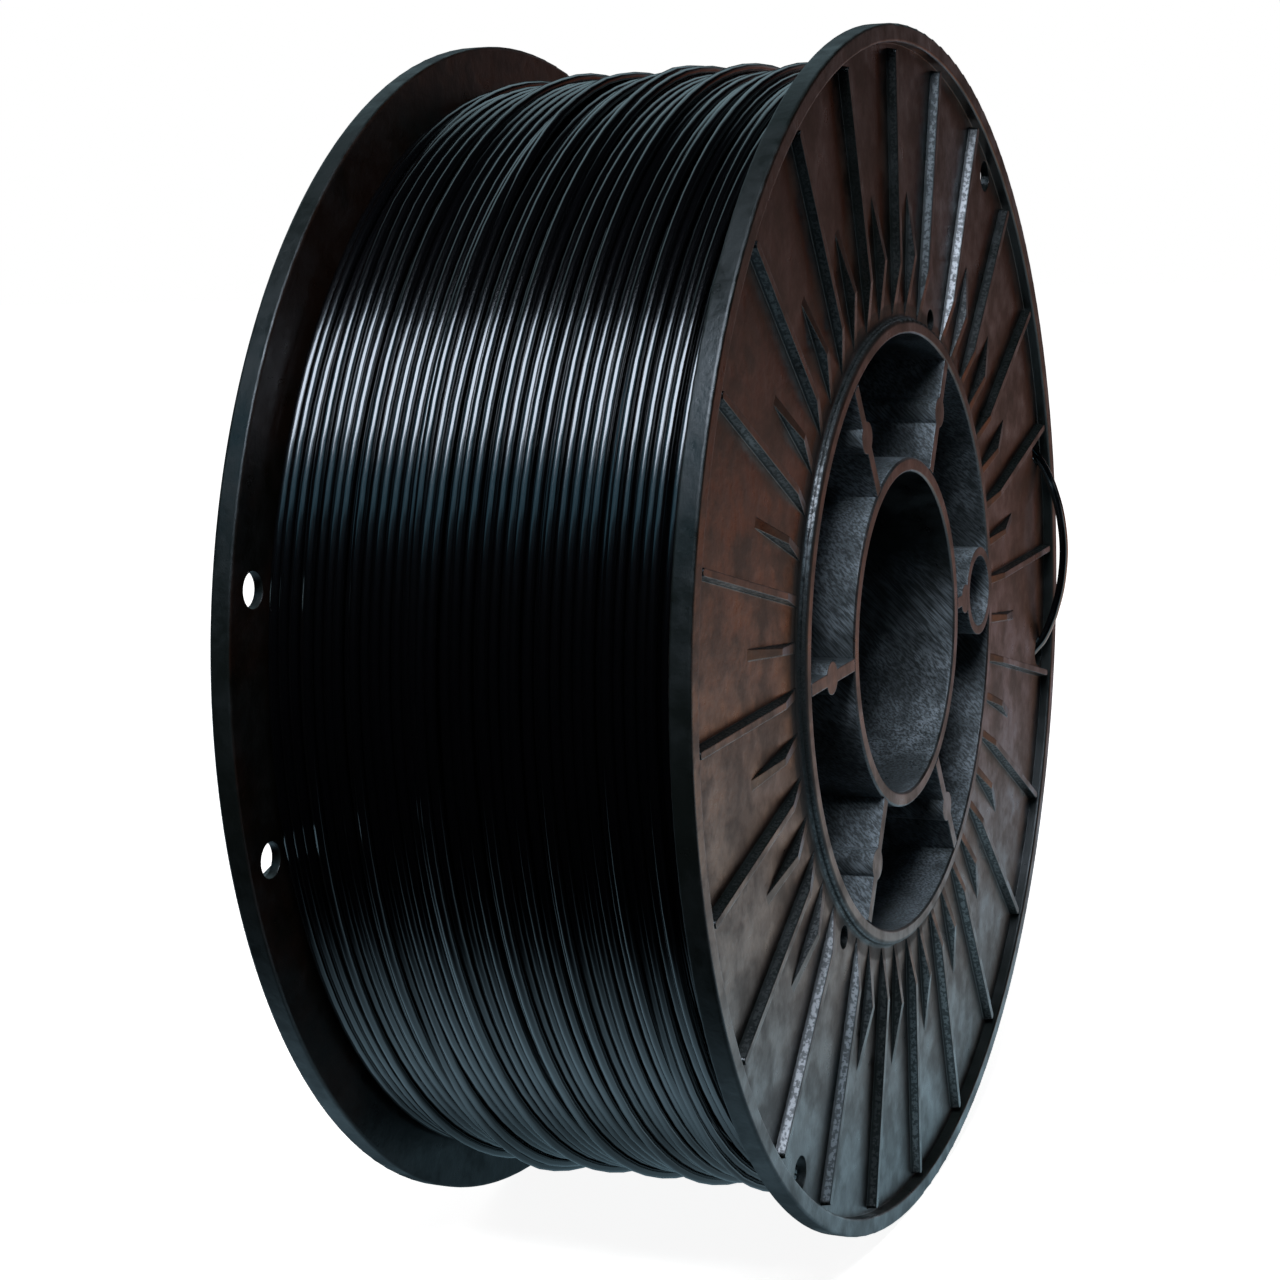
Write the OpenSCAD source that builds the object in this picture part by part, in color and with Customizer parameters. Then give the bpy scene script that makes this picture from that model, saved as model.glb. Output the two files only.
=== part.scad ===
// Filament spool: two moulded halves that meet at mid-width, wound with filament.
// The spool stands on its rims. Its axis runs along Y, and the front flange faces -Y.

/* [Flanges] */
// Diameter of both flanges
flange_d = 200; // [185:1:230]
// Width over both rims
spool_w = 75; // [64:0.5:95]
// Thickness of the raised rim
rim_t = 3.5; // [3:0.1:5]
// Radial width of the raised rim
rim_w = 3; // [2:0.1:4]
// Thickness of the plate inside the rim
plate_t = 1.5; // [1.2:0.1:2]
// Rounding of the rim's edges
rim_edge_r = 0.5; // [0.2:0.1:0.9]

/* [Ribs] */
// Number of long ribs on each flange
rib_n = 24; // [18:2:28]
// Thickness of every rib at the level of the rim's face
rib_t = 1; // [0.8:0.1:1.5]
// How much thicker a rib is at its foot, so that it leaves the mould
rib_draft = 0.7; // [0.1:0.1:0.9]
// How far the long ribs' tops lie below the rim's face
rib_drop = 0.4; // [0.1:0.1:0.8]
// Radial length over which a long rib rises from the drum
rib_rise = 9; // [5:0.5:15]
// Gap between a long rib's round end and the rim
rib_end_gap = 0.8; // [0.4:0.1:1.5]
// How far the short ribs' peaks lie below the rim's face
short_drop = 0.4; // [0.1:0.1:0.8]
// Radial length over which a short rib rises from the drum
short_rise = 10.5; // [6:0.5:14]
// Radial length over which a short rib falls to the plate again
short_fall = 10.5; // [6:0.5:14]

/* [Drum and hub] */
// Outer diameter of the drum that carries the filament
drum_d = 105; // [98:1:115]
// Wall of the drum
drum_wall = 2.5; // [2.4:0.1:3.5]
// Bore of the hub, which turns on a spindle or rollers
bore_d = 54; // [50:0.5:57]
// Wall of the hub
hub_wall = 2.4; // [2:0.1:3.5]
// How far the faces of drum, hub and webs lie below the rim's face
face_drop = 0.4; // [0.1:0.1:1]
// Broken edges of the hub, and of the drum's inner side
edge_cut = 0.3; // [0.1:0.1:0.6]
// Rounding of the drum's outer edge and of the corner where it meets the plate
drum_edge_r = 0.8; // [0.3:0.1:1]
// Thickness of the lip with which the front drum enters the rear one
lip_t = 0.7; // [0.5:0.1:0.8]
// Length of that lip
lip_l = 2; // [1:0.5:4]
// Clearance round the lip
lip_gap = 0.1; // [0.05:0.05:0.2]

/* [Webs and posts] */
// Number of webs between hub and drum
web_n = 6; // [4:1:7]
// Thickness of a web
web_t = 2; // [1.5:0.1:3]
// Diameter of the round posts on the webs
post_d = 5.2; // [4.5:0.1:6]
// Distance from the drum's inner wall to the posts' centres
post_in = 9.6; // [8:0.1:11]
// Diameter of the pins that join the posts of the two halves
pin_d = 2.6; // [2:0.1:3]
// Length of those pins
pin_l = 5; // [3:0.5:8]
// Clearance all round a pin in its socket
pin_gap = 0.05; // [0.03:0.01:0.15]
// Depth of a socket past the pin's end
pin_end_gap = 0.5; // [0.2:0.1:1]
// Hole of the drive tube
tube_bore_d = 12.8; // [10:0.1:14]
// Wall of the drive tube
tube_wall = 1.6; // [1.2:0.1:2]
// How deep the drive tube is sunk into the drum's wall
tube_sink = 1.4; // [0.8:0.1:1.5]
// How deep the drive tube's own post is sunk into the tube's wall
tube_post_sink = 1.5; // [0.8:0.1:1.6]

/* [Holes for the filament's ends] */
// Diameter of the holes beside the rim
end_hole_d = 5.6; // [4:0.1:6]
// Distance from the flange's edge to the centres of those holes
end_hole_in = 6; // [5.5:0.1:8]
// Wall between each hole of the pair and the rib beside it
pair_gap = 0.45; // [0.3:0.05:2]
// Diameter of the anchor holes beside the drum
anchor_d = 3.8; // [2:0.1:4.4]
// Distance from the drum's outer wall to the centres of the anchor holes
anchor_out = 2.5; // [2.4:0.1:4]

/* [Filament] */
// Diameter of the filament
strand_d = 1.75; // [1.6:0.05:1.85]
// How far the winding stays below the flange's edge
fill_margin = 6.5; // [5:0.5:20]
// How much lower the winding lies at the flanges than at its middle
fill_drop = 1.2; // [0:0.1:3]
// Gap between the winding and each flange
side_gap = 0.3; // [0.1:0.05:0.5]
// Gap between the winding's core and the drum
drum_gap = 0.1; // [0.05:0.05:0.3]
// Number of loops in the outer layer
layer_loops = 24; // [12:1:24]
// Bend radius where the outer layer rises from the turns below it
rise_bend_r = 2.4; // [2:0.1:3.5]

/* [Hidden] */
$fn = 96;
plastic = "#34373a";
filament = "#141518";

// Each half is drawn with its axis along Z, from the joint at 0 to its rim at half_w
half_w = spool_w / 2;
flange_r = flange_d / 2;
plate_z = half_w - rim_t;
plate_top = plate_z + plate_t;
face_z = half_w - face_drop;
drum_r = drum_d / 2;
drum_in_r = drum_r - drum_wall;
bore_r = bore_d / 2;
hub_r = bore_r + hub_wall;

rib_pitch = 360 / rib_n;
rib_foot_r = drum_r + 0.2;
rib_foot_t = rib_t + rib_draft;
rib_root = 0.5;
rib_top = half_w - rib_drop;
rib_end_t = rib_t + rib_draft * rib_drop / (half_w - plate_top);
rib_end_r = flange_r - rim_w - rib_end_gap;
short_top = half_w - short_drop;

web_pitch = 360 / web_n;
post_r = drum_in_r - post_in;
tube_r = tube_bore_d / 2 + tube_wall;
tube_at = drum_in_r + tube_sink - tube_r;
tube_post_at = tube_at - tube_r - post_d / 2 + tube_post_sink;

// The holes are placed in steps of a rib pitch, so those in a half step lie between two long ribs
end_hole_r = end_hole_d / 2;
end_hole_at = flange_r - end_hole_in;
pair_deg = rib_pitch - asin((end_hole_r + pair_gap + rib_foot_t / 2) / end_hole_at);
single_steps = [3.5, -8.5];
anchor_steps = [4.5, -8.5];
anchor_at = drum_r + anchor_out;

// Winding: the outer layer's centre line and the solid core under it
strand_r = strand_d / 2;
loop_rings = 24;
layer_half = plate_z - side_gap - strand_r;
rise_rings = 3;
layer_rings = layer_loops * loop_rings - rise_rings;
layer_end_deg = 30;
core_gap = 0.05;
core_half = plate_z - side_gap;
core_steps = 12;
pocket_gap = 0.3;
pocket_depth = 6 * strand_d;
echo(pair_deg = pair_deg, end_hole_at = end_hole_at, tube_at = tube_at, post_r = post_r);

// The filament's end leaves through one hole of the pair and returns through the other.
// Each point: angle in shares of the holes' angle, distance outside the holes' circle,
// and distance outside the flange's inner face.
end_route = [
    [1.92, -2.1, -1.2],
    [1.52, -1.1, -1.25],
    [1.27, -0.3, -1.3],
    [1.15, 0, -1.1],
    [1.06, 0, -0.4],
    [0.98, 0, 0.75],
    [0.9, 0.1, 2],
    [0.8, 0.3, 3],
    [0.7, 0.5, 3.75],
    [0.59, 0.8, 4.4],
    [0.4, 1.1, 5.3],
    [0.2, 1.4, 5.8],
    [0, 1.5, 6],
    [-0.2, 1.4, 5.8],
    [-0.4, 1.1, 5.3],
    [-0.59, 0.8, 4.4],
    [-0.7, 0.5, 3.75],
    [-0.8, 0.3, 3],
    [-0.9, 0.1, 2],
    [-0.98, 0, 0.75],
    [-1.06, 0, -0.4],
    [-1.15, 0, -1.1],
    [-1.3, -0.2, -1.4],
    [-1.5, -0.4, -1.4],
    [-1.75, -0.6, -1.3]
];

// Cutter that rounds the corner of a profile; side points out of the material
module corner_cut(corner, side, r) {
    translate([corner.x - side.x * r, corner.y - side.y * r])
        difference() {
            translate([side.x > 0 ? 0 : -2 * r, side.y > 0 ? 0 : -2 * r]) square(2 * r);
            circle(r = r);
        }
}

module flange_profile() {
    difference() {
        union() {
            translate([drum_r, plate_z]) square([flange_r - drum_r, plate_t]);
            translate([flange_r - rim_w, plate_z]) square([rim_w, rim_t]);
            translate([drum_r, plate_top]) square(drum_edge_r);
        }
        translate([drum_r + drum_edge_r, plate_top + drum_edge_r]) circle(r = drum_edge_r, $fn = 40);
        corner_cut([flange_r, half_w], [1, 1], rim_edge_r);
        corner_cut([flange_r, plate_z], [1, -1], rim_edge_r);
        corner_cut([flange_r - rim_w, half_w], [-1, 1], rim_edge_r);
    }
}

// Section across a rib, which narrows from the plate towards the rim's face
module rib_section() {
    foot = plate_top - rib_root;
    polygon([
        [foot, -rib_foot_t / 2], [plate_top, -rib_foot_t / 2], [half_w, -rib_t / 2],
        [half_w, rib_t / 2], [plate_top, rib_foot_t / 2], [foot, rib_foot_t / 2]
    ]);
}

// Side profile along the radius, made a rib with the common section
module rib(profile) {
    intersection() {
        rotate([90, 0, 0]) linear_extrude(height = 2 * rib_foot_t, center = true) polygon(profile);
        rotate([0, -90, 180]) linear_extrude(height = flange_r) rib_section();
    }
}

module long_rib() {
    foot = plate_top - rib_root;
    end_r = rib_end_r - rib_foot_t / 2;
    rib([
        [rib_foot_r, foot], [rib_foot_r, plate_top], [drum_r + rib_rise, rib_top],
        [end_r, rib_top], [end_r, foot]
    ]);
    translate([end_r, 0, foot]) cylinder(d = rib_foot_t, h = rib_root, $fn = 32);
    translate([end_r, 0, plate_top])
        cylinder(d1 = rib_foot_t, d2 = rib_end_t, h = rib_top - plate_top, $fn = 32);
}

module short_rib() {
    foot = plate_top - rib_root;
    peak_r = drum_r + short_rise;
    rib([
        [rib_foot_r, foot], [rib_foot_r, plate_top], [peak_r, short_top],
        [peak_r + short_fall, plate_top], [peak_r + short_fall, foot]
    ]);
}

module through_hole(radius, deg, d) {
    rotate([0, 0, deg]) translate([radius, 0, plate_z - 1]) cylinder(d = d, h = plate_t + 2);
}

// A flange with its ribs; pair_at is the angle midway between its pair of holes
module flange(pair_at, singles, anchors) {
    difference() {
        union() {
            rotate_extrude() flange_profile();
            for (i = [0 : rib_n - 1]) rotate([0, 0, i * rib_pitch]) long_rib();
            for (i = [0 : rib_n - 1])
                if (len(search(i + 0.5, [for (s = anchors) s < 0 ? s + rib_n : s])) == 0)
                    rotate([0, 0, (i + 0.5) * rib_pitch]) short_rib();
        }
        for (side = [-1, 1]) through_hole(end_hole_at, pair_at + side * pair_deg, end_hole_d);
        for (s = singles) through_hole(end_hole_at, s * rib_pitch, end_hole_d);
        for (s = anchors) through_hole(anchor_at, s * rib_pitch, anchor_d);
    }
}

// Wall of a tube from the joint to the outer face, with both edges broken at the face
module wall_profile(inner, outer) {
    polygon([
        [inner, 0], [outer, 0], [outer, face_z - edge_cut], [outer - edge_cut, face_z],
        [inner + edge_cut, face_z], [inner, face_z - edge_cut]
    ]);
}

module tube_hollow() {
    translate([tube_at, 0, -lip_l - 1]) cylinder(r = tube_r, h = face_z + lip_l + 2);
}

module drum(with_lip) {
    difference() {
        union() {
            rotate_extrude()
                difference() {
                    wall_profile(drum_in_r, drum_r);
                    corner_cut([drum_r, face_z], [1, 1], drum_edge_r, $fn = 40);
                }
            if (with_lip)
                rotate_extrude()
                    translate([drum_r - lip_t, -lip_l]) square([lip_t, lip_l + 1]);
        }
        tube_hollow();
        if (!with_lip)
            rotate_extrude()
                translate([drum_r - lip_t - lip_gap, -1]) square([lip_t + 1, lip_l + lip_gap + 1]);
    }
}

module hub() {
    rotate_extrude() wall_profile(bore_r, hub_r);
}

module drive_tube() {
    translate([tube_at, 0, 0])
        difference() {
            cylinder(r = tube_r, h = face_z);
            translate([0, 0, -1]) cylinder(d = tube_bore_d, h = face_z + 2);
        }
}

// Web 0 stops at the drive tube; every other web carries a post with a pin or a socket
module web(i, with_pin) {
    post_at = i == 0 ? tube_post_at : post_r;
    rotate([0, 0, i * web_pitch])
        difference() {
            union() {
                intersection() {
                    translate([0, -web_t / 2, 0]) cube([drum_r, web_t, face_z]);
                    difference() {
                        cylinder(r = drum_in_r, h = face_z);
                        translate([0, 0, -1]) cylinder(r = hub_r, h = face_z + 2);
                    }
                }
                translate([post_at, 0, 0]) cylinder(d = post_d, h = face_z);
                if (i > 0 && with_pin)
                    translate([post_at, 0, -pin_l]) cylinder(d = pin_d, h = pin_l + 1, $fn = 48);
            }
            if (i == 0) tube_hollow();
            if (i > 0 && !with_pin)
                translate([post_at, 0, -1])
                    cylinder(d = pin_d + 2 * pin_gap, h = pin_l + pin_end_gap + 1, $fn = 48);
        }
}

module webs(with_pin) {
    for (i = [0 : web_n - 1]) web(i, with_pin);
}

// Stand a half on its rim: front half towards -Y, rear half mirrored
module front() rotate([90, 0, 0]) children();
module rear() mirror([0, 1, 0]) rotate([90, 0, 0]) children();

module front_flange() color(plastic) front() flange(0, single_steps, anchor_steps);
module front_drum() color(plastic) front() drum(true);
module front_hub() color(plastic) front() hub();
module front_webs() color(plastic) front() webs(true);
module front_drive_tube() color(plastic) front() drive_tube();
module rear_flange() color(plastic) rear() flange(180, [], []);
module rear_drum() color(plastic) rear() drum(false);
module rear_hub() color(plastic) rear() hub();
module rear_webs() color(plastic) rear() webs(false);
module rear_drive_tube() color(plastic) rear() drive_tube();

// Point of the standing spool at a radius, an angle from +X towards +Z, and a place along Y
function at(radius, deg, y) = [radius * cos(deg), y, radius * sin(deg)];
function unit(v) = v / norm(v);

// Radius of the outer layer's centre line, which crowns towards the middle
function layer_at(y) =
    flange_r - fill_margin - strand_r - fill_drop * pow(min(1, abs(y) / layer_half), 3);
function core_at(y) = layer_at(y) * cos(180 / loop_rings) - strand_r - core_gap;

// Outer layer: it rises straight out of the core, bends over and winds towards the front
rise_deg = layer_end_deg + layer_rings * 360 / loop_rings;
rise_out = at(1, rise_deg, 0);
rise_side = at(1, rise_deg + 90, 0);
rise_centre = at(layer_at(layer_half) - rise_bend_r, rise_deg, layer_half);
rise_foot = rise_centre + rise_bend_r * rise_side - strand_d * rise_out;
rise_path = concat(
    [rise_foot],
    [for (a = [0 : 22.5 : 67.5]) rise_centre + rise_bend_r * (cos(a) * rise_side + sin(a) * rise_out)]
);
turns_path = [
    for (i = [0 : layer_rings])
        let (y = layer_half * (1 - 2 * i / layer_rings))
            at(layer_at(y), rise_deg - i * 360 / loop_rings, y)
];
end_way = at(1, layer_end_deg - 90, 0);
layer_end = turns_path[layer_rings] + strand_d * end_way;
layer_path = concat(rise_path, turns_path, [layer_end]);
end_path = concat(
    [layer_end, layer_end + strand_d * end_way],
    [for (p = end_route) at(end_hole_at + p[1], p[0] * pair_deg, -plate_z - p[2])]
);

// Least gap between two stretches of strand, from each point of one to each piece of the other
function to_piece(p, a, b) =
    let (t = max(0, min(1, ((p - a) * (b - a)) / ((b - a) * (b - a)))))
        norm(p - a - t * (b - a));
function gap_to(p, path, first, last) =
    min([for (j = [first : last - 1]) to_piece(p, path[j], path[j + 1])]);
layer_last = len(layer_path) - 1;
layer_gap = min([
    for (i = [0 : layer_last - loop_rings])
        gap_to(layer_path[i], layer_path, i + loop_rings / 2, min(layer_last, i + 2 * loop_rings))
]) - strand_d;
end_gap = min([
    for (i = [3 : len(end_path) - 1])
        gap_to(end_path[i], layer_path, layer_last - 2 * loop_rings, layer_last)
]) - strand_d;
echo(layer_gap = layer_gap, end_gap = end_gap);

// Solid tube along a path, with its rings turned so that one axis stays near the spool's
function way(path, i) =
    unit(path[min(i + 1, len(path) - 1)] - path[max(i - 1, 0)]);
function ring(centre, along, r, sides) =
    let (
        u = unit(cross(along, [0, 1, 0])),
        v = cross(u, along)
    )
        [for (k = [0 : sides - 1]) centre + r * (cos(360 * k / sides) * u + sin(360 * k / sides) * v)];

module strand(path, sides) {
    last = len(path) - 1;
    points = [for (i = [0 : last]) each ring(path[i], way(path, i), strand_r, sides)];
    walls = [
        for (i = [0 : last - 1])
            for (k = [0 : sides - 1])
                let (
                    a = i * sides + k,
                    b = i * sides + (k + 1) % sides
                )
                    each [[a, b, a + sides], [b, b + sides, a + sides]]
    ];
    start_cap = [for (k = [1 : sides - 2]) [0, k + 1, k]];
    end_cap = [for (k = [1 : sides - 2]) [last * sides, last * sides + k, last * sides + k + 1]];
    polyhedron(points, concat(walls, start_cap, end_cap), convexity = 10);
}

module filament_core() {
    color(filament)
        difference() {
            rotate([90, 0, 0])
                rotate_extrude()
                    polygon(concat(
                        [[drum_r + drum_gap, core_half], [drum_r + drum_gap, -core_half]],
                        [
                            for (i = [0 : core_steps])
                                let (z = core_half * (2 * i / core_steps - 1))
                                    [core_at(z), z]
                        ]
                    ));
            translate(rise_foot)
                rotate([0, 90 - rise_deg, 0])
                    cylinder(r = strand_r + pocket_gap, h = pocket_depth, $fn = 32);
        }
}

module filament_layer() color(filament) strand(layer_path, 6);
module filament_end() color(filament) strand(end_path, 8);

front_flange();
front_drum();
front_hub();
front_webs();
front_drive_tube();
rear_flange();
rear_drum();
rear_hub();
rear_webs();
rear_drive_tube();
filament_core();
filament_layer();
filament_end();
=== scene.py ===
import bpy
import math
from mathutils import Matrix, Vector


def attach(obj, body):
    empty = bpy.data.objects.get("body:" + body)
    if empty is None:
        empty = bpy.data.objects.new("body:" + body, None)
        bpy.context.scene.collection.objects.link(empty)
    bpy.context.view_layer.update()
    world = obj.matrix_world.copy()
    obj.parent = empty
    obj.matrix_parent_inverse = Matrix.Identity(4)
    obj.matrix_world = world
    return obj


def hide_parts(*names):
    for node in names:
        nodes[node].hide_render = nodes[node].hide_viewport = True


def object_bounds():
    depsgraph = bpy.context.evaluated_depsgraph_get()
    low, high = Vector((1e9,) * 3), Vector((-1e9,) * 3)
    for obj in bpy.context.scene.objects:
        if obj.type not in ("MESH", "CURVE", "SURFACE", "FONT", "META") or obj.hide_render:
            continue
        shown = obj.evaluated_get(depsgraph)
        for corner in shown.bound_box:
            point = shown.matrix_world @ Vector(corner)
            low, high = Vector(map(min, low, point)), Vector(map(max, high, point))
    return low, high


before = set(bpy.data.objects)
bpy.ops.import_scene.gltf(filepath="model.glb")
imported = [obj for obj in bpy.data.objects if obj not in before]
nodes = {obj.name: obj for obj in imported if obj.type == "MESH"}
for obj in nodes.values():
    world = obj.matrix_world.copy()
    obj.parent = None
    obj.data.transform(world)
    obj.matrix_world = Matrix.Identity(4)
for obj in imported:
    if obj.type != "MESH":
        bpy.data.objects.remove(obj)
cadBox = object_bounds()
mm = 0.001

camera = {
    "place": (-0.421266, -0.167999, 0.079513),
    "turn": (79.785, 2.245, -67.243),  # degrees
    "lens": 74.56,
    "sensor": 36,
}


def addCamera(s):
    data = bpy.data.cameras.new("camera")
    data.sensor_width = s["sensor"]
    data.lens = s["lens"]
    data.clip_start = 0.01
    thing = bpy.data.objects.new("camera", data)
    thing.location = s["place"]
    thing.rotation_euler = [math.radians(a) for a in s["turn"]]
    bpy.context.collection.objects.link(thing)
    bpy.context.scene.camera = thing


addCamera(camera)
print("camera placed")


class Wire:
    # a socket whose sums, differences and products add Math nodes
    def __init__(self, socket):
        self.socket = socket

    def math(self, operation, first, second):
        tree = self.socket.id_data
        return addNode(tree, "Math", {"operation": operation}, {0: first, 1: second})[0]

    def absolute(self):
        return self.math("ABSOLUTE", self, 0)

    def __add__(self, other): return self.math("ADD", self, other)
    def __radd__(self, other): return self.math("ADD", other, self)
    def __sub__(self, other): return self.math("SUBTRACT", self, other)
    def __rsub__(self, other): return self.math("SUBTRACT", other, self)
    def __mul__(self, other): return self.math("MULTIPLY", self, other)
    def __rmul__(self, other): return self.math("MULTIPLY", other, self)


class Outputs:
    # a node's outputs, by name or number
    def __init__(self, node):
        self.node = node

    def __getitem__(self, name):
        return Wire(self.node.outputs[name])


def addNode(tree, kind, settings, inputs):
    node = tree.nodes.new("ShaderNode" + kind)
    for name, value in settings.items():
        if name == "stops":
            elements = node.color_ramp.elements
            while len(elements) < len(value):
                elements.new(1.0)
            for element, (position, colour) in zip(elements, value):
                element.position = position
                element.color = colour
        else:
            setattr(node, name, value)
    for name, value in inputs.items():
        if isinstance(value, Wire):
            tree.links.new(value.socket, node.inputs[name])
        else:
            node.inputs[name].default_value = value
    return Outputs(node)


class Shader:
    # the node tree of a material or of the world
    def __init__(self, owner):
        owner.use_nodes = True
        self.tree = owner.node_tree
        self.tree.nodes.clear()

    def add(self, kind, settings, inputs):
        return addNode(self.tree, kind, settings, inputs)

    def smooth(self, value, low, high):
        # 0 below low, 1 above high
        return self.add("MapRange", {"interpolation_type": "SMOOTHSTEP"},
                        {"Value": value, "From Min": low, "From Max": high})[0]

    def between(self, value, rise, fall):
        # 1 from the end of the rise to the start of the fall
        return self.smooth(value, *rise) * (1 - self.smooth(value, *fall))

    def mixColour(self, factor, a, b):
        return self.add("Mix", {"data_type": "RGBA"}, {0: factor, 6: a, 7: b})[2]

    def scale(self, colour, level):
        return self.add("VectorMath", {"operation": "SCALE"}, {0: colour, "Scale": level})[0]

    def choose(self, factor, a, b):
        return self.add("MixShader", {}, {0: factor, 1: a, 2: b})[0]

    def noise(self, vector, scale, detail=3.0):
        return self.add("TexNoise", {}, {"Vector": vector, "Scale": scale, "Detail": detail,
                                         "Roughness": 0.6})["Fac"]

    def split(self, vector):
        parts = self.add("SeparateXYZ", {}, {0: vector})
        return parts["X"], parts["Y"], parts["Z"]


def rgb(r, g, b):
    return (r, g, b, 1.0)


def spoolPlastic():
    # nearly black satin plastic with mottled faces, glossy speckled rib sides and a scuffed hub,
    # whose bore has painted light: its scuffs show only on the lower right, where light falls in
    s = {
        "rough": 0.27,
        "blotchRough": 0.16,
        "mottleRough": 0.1,
        "patchy": (0.4, 0.62),     # limits of the noise for patches, blotches and wear
        "mottled": (0.36, 0.64),
        "ringRough": 0.22,         # the ring round the drum's edge is duller
        "ring": ((51.6 * mm, 52 * mm), (54.6 * mm, 55.4 * mm)),
        "mottleScale": 260.0,
        "waveScale": 110.0,
        "wave": 0.35 * mm,
        "bumpStrength": 0.6,
        "bumpMix": (0.3, 0.5),     # shares of mottling and fine grain
        "fineScale": 1500.0,
        "edge": 0.25 * mm,         # how far edges look rounded
        "grain": 0.03 * mm,
        "wall": (0.5, 0.8),        # a wall's normal along Y is under the first of these
        "ribs": ((54.2 * mm, 55 * mm), (95.6 * mm, 96.3 * mm)),
        "side": ((35.75 * mm, 36.1 * mm), (36.8 * mm, 37.05 * mm)),
        "speckScale": 1500.0,
        "speck": 0.022 * mm,
        "glint": (0.44, 0.56),     # specks that catch the light
        "leastGlint": 0.2,
        "coatIor": 2.3,            # the ribs' sides are glossier than the faces
        "coatRough": 0.28,
        "hub": (50.5 * mm, 52 * mm),  # scuffs stop between these radii
        "scuffTurn": 0.8,          # radians from Y
        "scuffScale": (2, 2, 0.08),
        # pale blue-grey of scuffs on the walls, which in the bore is painted light on its lit side
        "scuff": rgb(0.18, 0.225, 0.27),
        "scratched": (0.36, 0.66),
        "leastScratch": 0.2,
        "leastWear": 0.4,
        "ringShine": 0.4,
        "patchScale": 45.0,
        "dark": rgb(0.003, 0.0028, 0.0018),
        "brown": rgb(0.0115, 0.0055, 0.0035),
        "wallColour": rgb(0.0055, 0.0078, 0.0076),
        "bore": (28 * mm, 28.5 * mm),
        "rubbed": (0.6, -0.8),     # painted lit side of the bore, where light falls in, along X and Z
        "rubWidth": (3 * mm, 20 * mm),
        "ior": 1.5,
    }
    material = bpy.data.materials.new("spoolPlastic")
    sh = Shader(material)
    coordinates = sh.add("TexCoord", {}, {})
    place = coordinates["Object"]
    x, y, z = sh.split(place)
    facing = sh.split(coordinates["Normal"])[1].absolute()
    radius = x.math("POWER", x * x + z * z, 0.5)
    wall = 1 - sh.smooth(facing, *s["wall"])
    out = y.absolute()
    ribs = wall * sh.between(radius, *s["ribs"])
    sides = ribs * sh.between(out, *s["side"])
    mottle = sh.smooth(sh.noise(place, s["mottleScale"], 4.0), *s["mottled"])
    fine = sh.noise(place, s["fineScale"])
    specks = sh.noise(place, s["speckScale"], 2.0)
    turned = sh.add("VectorRotate", {"rotation_type": "X_AXIS"},
                    {"Vector": place, "Angle": s["scuffTurn"]})[0]
    streaks = sh.add("VectorMath", {"operation": "MULTIPLY"}, {0: turned, 1: s["scuffScale"]})[0]
    scratches = sh.smooth(sh.noise(streaks, s["fineScale"], 2.0), *s["scratched"])
    wearAndBoreLight = sh.smooth(sh.noise(place, s["waveScale"], 3.0), *s["patchy"])
    waves = sh.noise(place, s["waveScale"], 5.0)
    rounded = sh.add("Bevel", {"samples": 6}, {"Radius": s["edge"]})[0]
    wavy = sh.add("Bump", {}, {"Strength": s["bumpStrength"], "Distance": s["wave"],
                               "Height": waves, "Normal": rounded})[0]
    mottleShare, fineShare = s["bumpMix"]
    grained = sh.add("Bump", {}, {"Strength": s["bumpStrength"], "Distance": s["grain"],
                                  "Height": mottle * mottleShare + fine * fineShare,
                                  "Normal": wavy})[0]
    specked = sh.add("Bump", {}, {"Strength": 1.0, "Distance": s["speck"],
                                  "Height": specks * ribs, "Normal": grained})[0]
    patches = sh.smooth(sh.noise(place, s["patchScale"], 6.0), *s["patchy"])
    blotches = sh.smooth(waves, *s["patchy"])
    ring = sh.between(radius, *s["ring"])
    rough = (s["rough"] + s["blotchRough"] * blotches + s["mottleRough"] * mottle
             + s["ringRough"] * ring)
    face = sh.mixColour(wall, sh.mixColour(patches, s["dark"], s["brown"]), s["wallColour"])
    shiny = sides + s["ringShine"] * ring * wall
    least = s["leastGlint"]
    glints = least + (1 - least) * sh.smooth(specks, *s["glint"])
    # painted light: inside the bore the scuff colour is kept to the lower right side, where light
    # falls in
    boreLitX, boreLitZ = s["rubbed"]
    rubbed = sh.smooth(x * boreLitX + z * boreLitZ, *s["rubWidth"])
    beyond = sh.smooth(radius, *s["bore"])
    least = s["leastWear"]
    # wear patches, and inside the bore only the painted lit side
    wearAndBoreLight = (least + (1 - least) * wearAndBoreLight) * (beyond + (1 - beyond) * rubbed)
    least = s["leastScratch"]
    scuffsAndBoreLight = (wall * (1 - sh.smooth(radius, *s["hub"])) * wearAndBoreLight
              * (least + (1 - least) * scratches))
    body = sh.add("BsdfPrincipled", {}, {"Base Color": sh.mixColour(scuffsAndBoreLight, face, s["scuff"]),
                                         "Roughness": rough, "IOR": s["ior"],
                                         "Normal": specked, "Coat IOR": s["coatIor"],
                                         "Coat Weight": shiny * glints,
                                         "Coat Roughness": s["coatRough"]})
    sh.add("OutputMaterial", {}, {"Surface": body[0]})
    return material


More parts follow.
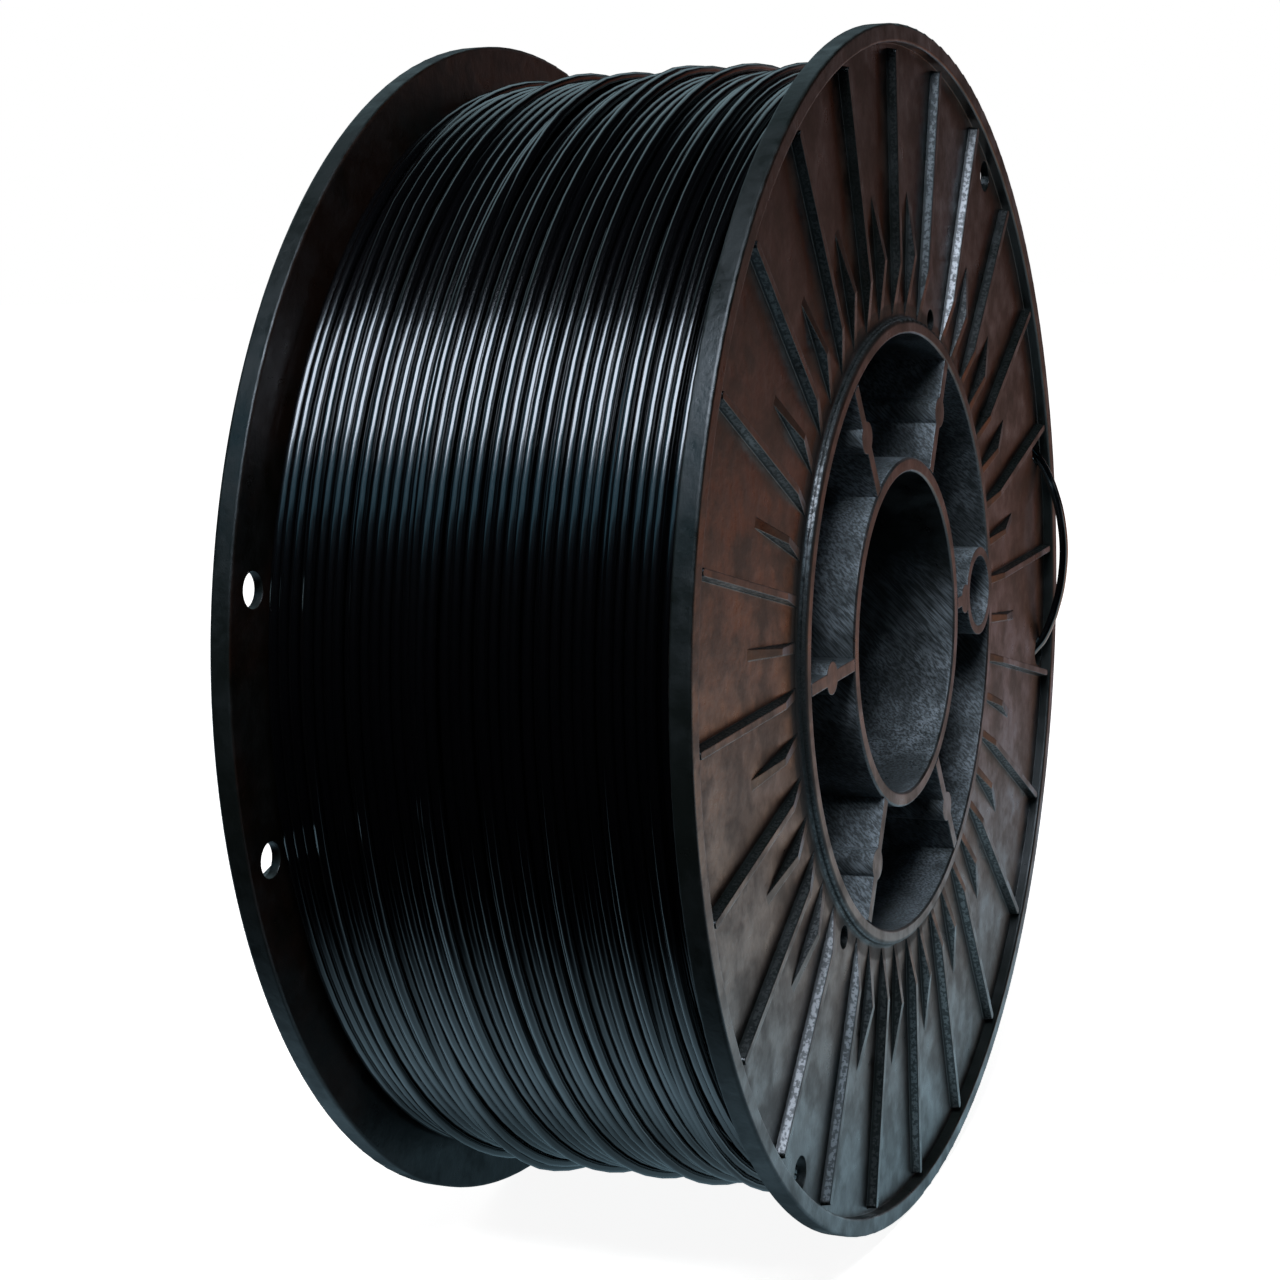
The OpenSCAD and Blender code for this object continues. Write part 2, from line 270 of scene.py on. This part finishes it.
def filamentPlastic():
    # glossy extruded plastic
    s = {
        "colour": rgb(0.001, 0.0011, 0.0016),
        "rough": (0.16, 0.22),
        "coatRough": 0.12,
        "grainScale": 900.0,
        "grain": 0.01 * mm,
        "bumpStrength": 0.3,
        "ior": 1.5,
    }
    material = bpy.data.materials.new("filamentPlastic")
    sh = Shader(material)
    grain = sh.noise(sh.add("TexCoord", {}, {})["Object"], s["grainScale"])
    low, high = s["rough"]
    bump = sh.add("Bump", {}, {"Strength": s["bumpStrength"], "Distance": s["grain"],
                               "Height": grain})[0]
    body = sh.add("BsdfPrincipled", {}, {"Base Color": s["colour"], "IOR": s["ior"],
                                         "Roughness": low + (high - low) * grain, "Normal": bump,
                                         "Coat Weight": 1.0, "Coat Roughness": s["coatRough"]})
    sh.add("OutputMaterial", {}, {"Surface": body[0]})
    return material


plastic = spoolPlastic()
filament = filamentPlastic()
for name, thing in nodes.items():
    thing.data.materials.clear()
    thing.data.materials.append(filament if name.startswith("filament") else plastic)
print("materials made")


strand = {
    "d": 1.75 * mm,
    "halfWidth": 32.825 * mm,  # from mid-width to the outermost turns' centres
    "turns": 41,
    "steps": 96,               # points to a turn
    "r": 92.3 * mm,            # centre line of a turn that lies in its groove
    "drop": 0.9 * mm,          # how much lower the winding lies at the flanges
    "endDeg": 30,
    "rides": (3.55, 9.2, 15.4, 21.7, 27.9, 34.3),  # turns at which it rides up on its neighbour
    "ridePitch": 1.12 * mm,
    "rideTurns": 2.3,          # length of a ride, ramps included
    "rideRamp": 0.3,
    "waver": 0.09 * mm,        # how much the pitch wavers
    "looseLimits": (1.4 * mm, 2.4 * mm),
    "sink": 0.35 * mm,         # how deep a riding turn may lie below its groove
    "soften": 4,               # points on each side that even out the radius
    "bulge": 0.75 * mm,        # how far turns stand off on the upper side
    "tail": 20,                # points over which the last turn comes down to its hole
    "underFewer": 3,           # turns fewer in the layer below
    "underSteps": 60,
    "underDrop": 1.55 * mm,
}
looseEnd = {
    "r": 94 * mm,             # where the flange's holes are
    "inside": 34 * mm,        # the flange's inner face
    "step": 12.5,             # degrees
    # each point: steps round, out from the holes, out from the inner face, in millimetres
    "route": [
        (1.92, -2.1, -1.2), (1.52, -1.1, -1.25), (1.27, -0.3, -1.3), (1.15, 0, -1.1),
        (1.06, 0, -0.4), (0.98, 0, 0.75), (0.9, 0.1, 2), (0.8, 0.3, 3), (0.7, 0.5, 3.75),
        (0.59, 0.8, 4.4), (0.4, 1.1, 5.3), (0.2, 1.4, 5.8), (0, 1.5, 6), (-0.2, 1.4, 5.8),
        (-0.4, 1.1, 5.3), (-0.59, 0.8, 4.4), (-0.7, 0.5, 3.75), (-0.8, 0.3, 3), (-0.9, 0.1, 2),
        (-0.98, 0, 0.75), (-1.06, 0, -0.4), (-1.15, 0, -1.1), (-1.3, -0.2, -1.4),
        (-1.5, -0.4, -1.4), (-1.75, -0.6, -1.3),
    ],
    "fine": 5,                # points added between two of these
}


def around(radius, deg, y):
    a = math.radians(deg)
    return Vector((radius * math.cos(a), y, radius * math.sin(a)))


def tube(name, path, d, sides, material):
    curve = bpy.data.curves.new(name, "CURVE")
    curve.dimensions = "3D"
    curve.bevel_depth = d / 2
    curve.bevel_resolution = (sides - 4) // 2
    curve.use_fill_caps = True
    spline = curve.splines.new("POLY")
    spline.points.add(len(path) - 1)
    for point, place in zip(spline.points, path):
        point.co = (place.x, place.y, place.z, 1)
    spline.use_smooth = True
    thing = bpy.data.objects.new(name, curve)
    bpy.context.collection.objects.link(thing)
    bpy.ops.object.select_all(action="DESELECT")
    thing.select_set(True)
    bpy.context.view_layer.objects.active = thing
    bpy.ops.object.convert(target="MESH")
    thing = bpy.context.view_layer.objects.active
    thing.data.materials.clear()
    thing.data.materials.append(material)
    bpy.ops.object.shade_smooth()
    return thing


def windingRadius(s, y):
    return s["r"] - s["drop"] * min(1, abs(y) / s["halfWidth"]) ** 3


def ease(x):
    x = min(1, max(0, x))
    return x * x * (3 - 2 * x)


def pitchAt(s, t, loose):
    # distance from the turn before, closer along each ride
    pitch = loose
    for start in s["rides"]:
        end = start + s["rideTurns"]
        near = ease((t - start) / s["rideRamp"]) * ease((end - t) / s["rideRamp"])
        pitch += near * (s["ridePitch"] - loose)
    slow = math.sin(2.1 * t) + math.sin(5.3 * t + 1) + math.sin(8.7 * t + 2.2)
    return pitch + s["waver"] * slow


def layTurns(s, loose):
    steps = s["steps"]
    ys, rs = [], []
    for i in range(s["turns"] * steps + 1):
        t = i / steps
        if i < steps:
            ys.append(s["halfWidth"] - loose * t)
            rs.append(windingRadius(s, ys[-1]))
            continue
        pitch = pitchAt(s, t, loose)
        y = ys[i - steps] - pitch
        base = windingRadius(s, y)
        r = base
        if pitch < s["d"]:
            rise = math.sqrt(s["d"] ** 2 - pitch ** 2)
            under = rs[i - steps] - rise
            r = under if under > base - s["sink"] else max(base, rs[i - steps] + rise)
        ys.append(y)
        rs.append(r)
    return ys, rs


def windOuter(s):
    # the loose pitch that makes the turns fill the width
    low, high = s["looseLimits"]
    for _ in range(30):
        loose = (low + high) / 2
        ys, rs = layTurns(s, loose)
        if ys[-1] > -s["halfWidth"]:
            low = loose
        else:
            high = loose
    count = len(ys) - 1
    span = s["soften"]
    endR = windingRadius(s, s["halfWidth"])
    path = []
    for i in range(count + 1):
        part = rs[max(0, i - span):i + span + 1]
        r = sum(part) / len(part)
        deg = s["endDeg"] + (count - i) * 360 / s["steps"]
        t = i / s["steps"]
        up = max(0, math.sin(math.radians(deg))) ** 2
        bulge = 0.5 + 0.5 * math.sin(1.9 * t) * math.sin(0.83 * t + 0.6)
        r += s["bulge"] * up * bulge * (1 - (abs(ys[i]) / s["halfWidth"]) ** 2)
        tail = ease((count - i) / s["tail"])
        path.append(around(endR + (r - endR) * tail, deg, ys[i]))
    return path


def windUnder(s):
    turns = s["turns"] - s["underFewer"]
    steps = s["underSteps"]
    path = []
    for i in range(turns * steps + 1):
        y = s["halfWidth"] * (2 * i / (turns * steps) - 1)
        path.append(around(windingRadius(s, y) - s["underDrop"], -i * 360 / steps, y))
    return path


def smoothRoute(points, fine):
    # a curve through the points, with more of them where it bends
    out = []
    for i in range(len(points) - 1):
        p0, p1 = points[max(i - 1, 0)], points[i]
        p2, p3 = points[i + 1], points[min(i + 2, len(points) - 1)]
        for k in range(fine):
            u = k / fine
            out.append(0.5 * (2 * p1 + u * (p2 - p0) + u * u * (2 * p0 - 5 * p1 + 4 * p2 - p3)
                              + u ** 3 * (3 * p1 - p0 - 3 * p2 + p3)))
    return out + [points[-1]]


def layLooseEnd(s, w):
    leave = around(1, w["endDeg"] - 90, 0)
    start = around(windingRadius(w, w["halfWidth"]), w["endDeg"], -w["halfWidth"]) + w["d"] * leave
    points = [start, start + w["d"] * leave]
    for turn, out, forward in s["route"]:
        points.append(around(s["r"] + out * mm, turn * s["step"], -s["inside"] - forward * mm))
    return smoothRoute(points, s["fine"])


loosePath = layLooseEnd(looseEnd, strand)
looseLength = sum((b - a).length for a, b in zip(loosePath, loosePath[1:]))
loose = tube("looseEnd", loosePath, strand["d"], 14, filament)
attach(loose, "root")
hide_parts("filament_end")
print("loose end laid", round(looseLength, 4))

outerPath = windOuter(strand)
outerPath.append(loosePath[0])
outer = tube("woundStrand", outerPath, strand["d"], 8, filament)
under = tube("underTurns", windUnder(strand), strand["d"], 6, filament)
for thing in (outer, under):
    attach(thing, "root")
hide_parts("filament_layer")
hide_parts("filament_core")
print("filament wound")


# The stage is plain and white for the camera only. Mirrored rays see tinted tones instead,
# and other rays a dim floor, so part of the spool's colour in a render comes from here.
stage = {
    "size": 6.0,
    "paint": rgb(0.8, 0.8, 0.8),
    "dimPaint": rgb(0.1, 0.1, 0.1),
    "background": 0.92,  # what the floor adds for the camera, so that it is white past the shadow
    "clear": 0.12,       # and adds besides, further out
    "clearFrom": (0.15, 0.5),
    # tints of the floor in reflections, by distance along X in metres
    "toneStart": -0.06,
    "tones": [
        (0.0, rgb(0.32, 0.49, 0.6)), (0.08, rgb(0.85, 1.1, 1.25)), (0.22, rgb(1.15, 0.97, 0.84)),
        (0.46, rgb(0.9, 0.44, 0.26)), (0.86, rgb(0.62, 0.18, 0.09)), (1.0, rgb(0.22, 0.06, 0.03)),
    ],
    "tonesAside": [
        (0.0, rgb(0.4, 0.62, 0.76)), (0.08, rgb(0.6, 1.05, 1.3)), (0.26, rgb(0.6, 0.85, 1.05)),
        (0.46, rgb(0.52, 0.5, 0.6)), (0.8, rgb(0.34, 0.26, 0.27)), (1.0, rgb(0.46, 0.35, 0.34)),
    ],
    "aside": (0.32, -0.085, 0.015),  # slope and limits along Y of the floor's other tones
    "left": (-0.14, -0.07),          # dark in reflections left of this
    "shade": 0.8,                    # darker by this share between shadeX and past shadeY
    "shadeX": ((-0.075, -0.045), (0.02, 0.06)),
    "shadeY": (-0.045, -0.03),
    "behind": 0.8,                   # brighter by this behind the spool
    "behindX": (-0.1, 0.15),
    "behindY": (0.15, 0.35),
    "ambient": 0.04,
    # limits of the world's tones in reflections, along each direction
    "worldBack": (-0.12, 0.08),
    "worldTall": (0.06, 0.7),        # least and added strength
    "tallZ": ((0.25, 0.5), (0.7, 0.88)),
    "farY": (-0.5, -0.4),
    "rightY": (-0.34, -0.24),
    "frontZ": (0.1, 0.45),
    "rightX": (-0.15, 0.25),
    "rear": 0.5,
    "rearY": (0.5, 0.8),
    "rearZ": (0.1, 0.3),
    "wallTone": rgb(0.38, 0.55, 0.62),
    "lowTone": rgb(0.14, 0.04, 0.018),
    "rightTone": rgb(0.32, 0.27, 0.28),
    "farTone": rgb(0.02, 0.035, 0.04),
}


def addFloor(s):
    bpy.ops.mesh.primitive_plane_add(size=s["size"], location=(0, 0, cadBox[0][2]))
    floor = bpy.context.active_object
    floor.name = "floor"
    material = bpy.data.materials.new("floorPaint")
    sh = Shader(material)
    x, y, z = sh.split(sh.add("TexCoord", {}, {})["Object"])
    paths = sh.add("LightPath", {}, {})
    paint = sh.add("BsdfDiffuse", {}, {"Color": s["paint"]})[0]
    dim = sh.add("BsdfDiffuse", {}, {"Color": s["dimPaint"]})[0]
    away = x.math("POWER", x * x + y * y, 0.5)
    level = s["background"] + s["clear"] * sh.smooth(away, *s["clearFrom"])
    glow = sh.add("Emission", {}, {"Color": sh.scale(rgb(1, 1, 1)[:3], level)})[0]
    white = sh.add("AddShader", {}, {0: paint, 1: glow})[0]
    slope, first, last = s["aside"]
    aside = sh.smooth(y + slope * x, first, last)
    along = x - s["toneStart"]
    tone = sh.mixColour(aside, sh.add("ValToRGB", {"stops": s["tones"]}, {"Fac": along})["Color"],
                        sh.add("ValToRGB", {"stops": s["tonesAside"]}, {"Fac": along})["Color"])
    shaded = sh.between(x, *s["shadeX"]) * sh.smooth(y, *s["shadeY"])
    behind = sh.smooth(y, *s["behindY"]) * sh.smooth(x, *s["behindX"])
    level = sh.smooth(x, *s["left"]) * (1 - s["shade"] * shaded) + s["behind"] * behind
    shine = sh.add("Emission", {}, {"Color": sh.scale(tone, level)})[0]
    seen = sh.choose(paths["Is Camera Ray"], dim, white)
    surface = sh.choose(paths["Is Glossy Ray"], seen, shine)
    sh.add("OutputMaterial", {}, {"Surface": surface})
    floor.data.materials.append(material)


def addWorld(s):
    world = bpy.data.worlds.new("studio")
    bpy.context.scene.world = world
    sh = Shader(world)
    x, y, z = sh.split(sh.add("TexCoord", {}, {})["Generated"])
    paths = sh.add("LightPath", {}, {})
    back = sh.smooth(y, *s["worldBack"])
    least, more = s["worldTall"]
    tallFrom, tallTo = s["tallZ"]
    tall = (least + more * sh.smooth(z, *tallFrom)) * (1 - sh.smooth(z, *tallTo))
    left = sh.mixColour(sh.smooth(y, *s["farY"]), s["farTone"], s["lowTone"])
    low = sh.mixColour(sh.smooth(y, *s["rightY"]), left, s["rightTone"])
    front = 1 - sh.smooth(z, *s["frontZ"])
    right = sh.smooth(x, *s["rightX"])
    rear = s["rear"] * sh.smooth(y, *s["rearY"]) * (1 - sh.smooth(z, *s["rearZ"]))
    tone = sh.mixColour(back, low, s["wallTone"])
    level = right * ((1 - back) * front + back * tall + rear)
    mirrored = sh.add("Background", {}, {"Color": sh.scale(tone, level)})[0]
    plain = sh.add("Background", {}, {"Color": rgb(1, 1, 1), "Strength": s["ambient"]})[0]
    white = sh.add("Background", {}, {"Color": rgb(1, 1, 1), "Strength": 1.0})[0]
    seen = sh.choose(paths["Is Glossy Ray"], plain, mirrored)
    sh.add("OutputWorld", {}, {"Surface": sh.choose(paths["Is Camera Ray"], seen, white)})


def softbox(s):
    data = bpy.data.lights.new(s["name"], "AREA")
    data.shape = "RECTANGLE"
    data.size, data.size_y = s["size"]
    data.color = s["colour"]
    data.energy = s["radiance"] * math.pi * data.size * data.size_y
    azimuth, elevation = [math.radians(a) for a in s["from"]]
    aim = Vector(s["aim"])
    level = math.cos(elevation)
    way = Vector((level * math.cos(azimuth), level * math.sin(azimuth), math.sin(elevation)))
    place = aim + s["away"] * way
    lamp = bpy.data.objects.new(s["name"], data)
    lamp.location = place
    lamp.rotation_euler = (aim - place).to_track_quat("-Z", "Y").to_euler()
    lamp.visible_diffuse, lamp.visible_glossy = s["lights"]
    bpy.context.collection.objects.link(lamp)


windowLight = {
    "name": "windowLight",
    "from": (-162, 55),      # azimuth and elevation
    "away": 1.0,
    "aim": (-0.09, 0, 0.03),
    "size": (0.34, 0.36),
    "radiance": 26.0,
    "colour": (1, 1, 1),
    "lights": (True, False),  # diffuse, glossy
}
windowShine = {
    "name": "windowShine",
    "from": (-162, 56),
    "away": 0.8,
    "aim": (-0.09, 0, 0.03),
    "size": (0.68, 0.34),
    "radiance": 10.0,
    "colour": (0.78, 0.86, 1),
    "lights": (False, True),
}
roomShine = {
    "name": "roomShine",
    "from": (-168, 50),
    "away": 1.2,
    "aim": (-0.09, 0, 0.03),
    "size": (2.8, 0.9),
    "radiance": 0.55,
    "colour": (0.3, 0.72, 1),
    "lights": (False, True),
}
rearLight = {
    "name": "rearLight",
    "from": (62, 32),
    "away": 1.2,
    "aim": (0, 0, 0),
    "size": (1.3, 0.7),
    "radiance": 0.7,
    "colour": (1, 1, 1),
    "lights": (True, False),
}

addFloor(stage)
addWorld(stage)
for lamp in (windowLight, windowShine, roomShine, rearLight):
    softbox(lamp)
print("stage lit")

bpy.context.scene.view_settings.view_transform = "Standard"
